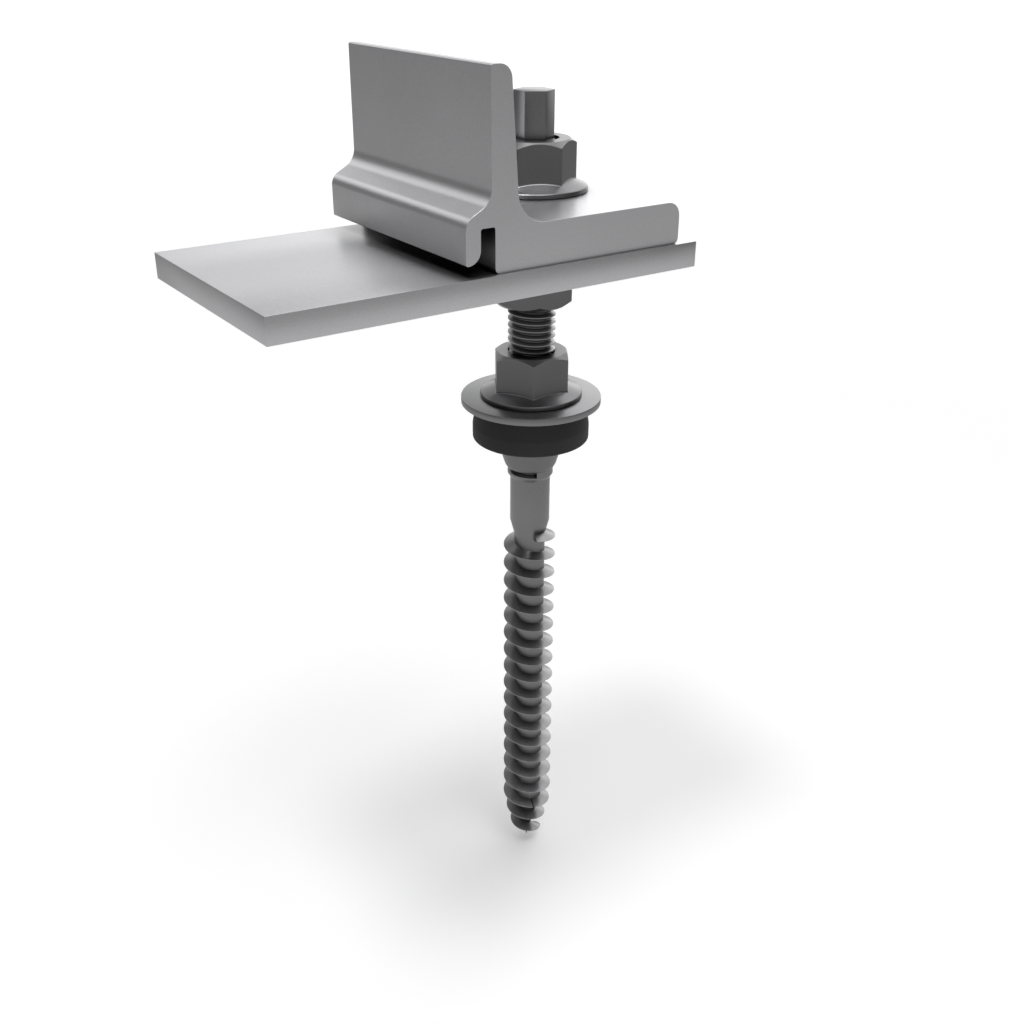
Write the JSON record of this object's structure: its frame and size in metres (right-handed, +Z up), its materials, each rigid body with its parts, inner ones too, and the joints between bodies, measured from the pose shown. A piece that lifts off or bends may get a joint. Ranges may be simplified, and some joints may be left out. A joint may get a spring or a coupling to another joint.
{
  "type": "solar hanger bolt",
  "caption": "Roof hanger bolt with wood-screw point, rubber seal, washer and flange nuts, carrying a flat adapter plate and a hooked L-shaped rail bracket.",
  "frame": {"origin": "on the bolt's axis at the underside of the rubber seal, which is the roof surface", "axes": "+Z up along the bolt, from the screw point to the hex drive; +X along the adapter plate, away from the bracket's hook; +Y along the bracket's extrusion"},
  "size_m": [0.0905, 0.0508, 0.191],
  "materials": {
    "bolt_steel": "stainless steel, rolled threads, satin",
    "nut_steel": "stainless steel, satin",
    "washer_steel": "stainless steel, stamped, satin",
    "ring_steel": "turned, satin",
    "seal_rubber": "moulded rubber, matt",
    "plate_aluminium": "mill finish, fine grain",
    "bracket_aluminium": "extruded, satin"
  },
  "bodies": {
    "root": {"hanger_bolt": "bolt_steel", "top_flange_nut": "nut_steel", "levelling_nut": "nut_steel", "lower_flange_nut": "nut_steel", "sealing_washer": "washer_steel", "rubber_seal": "seal_rubber", "centring_cone": "ring_steel", "adapter_plate": "plate_aluminium", "rail_bracket": "bracket_aluminium"}
  },
  "joints": []
}
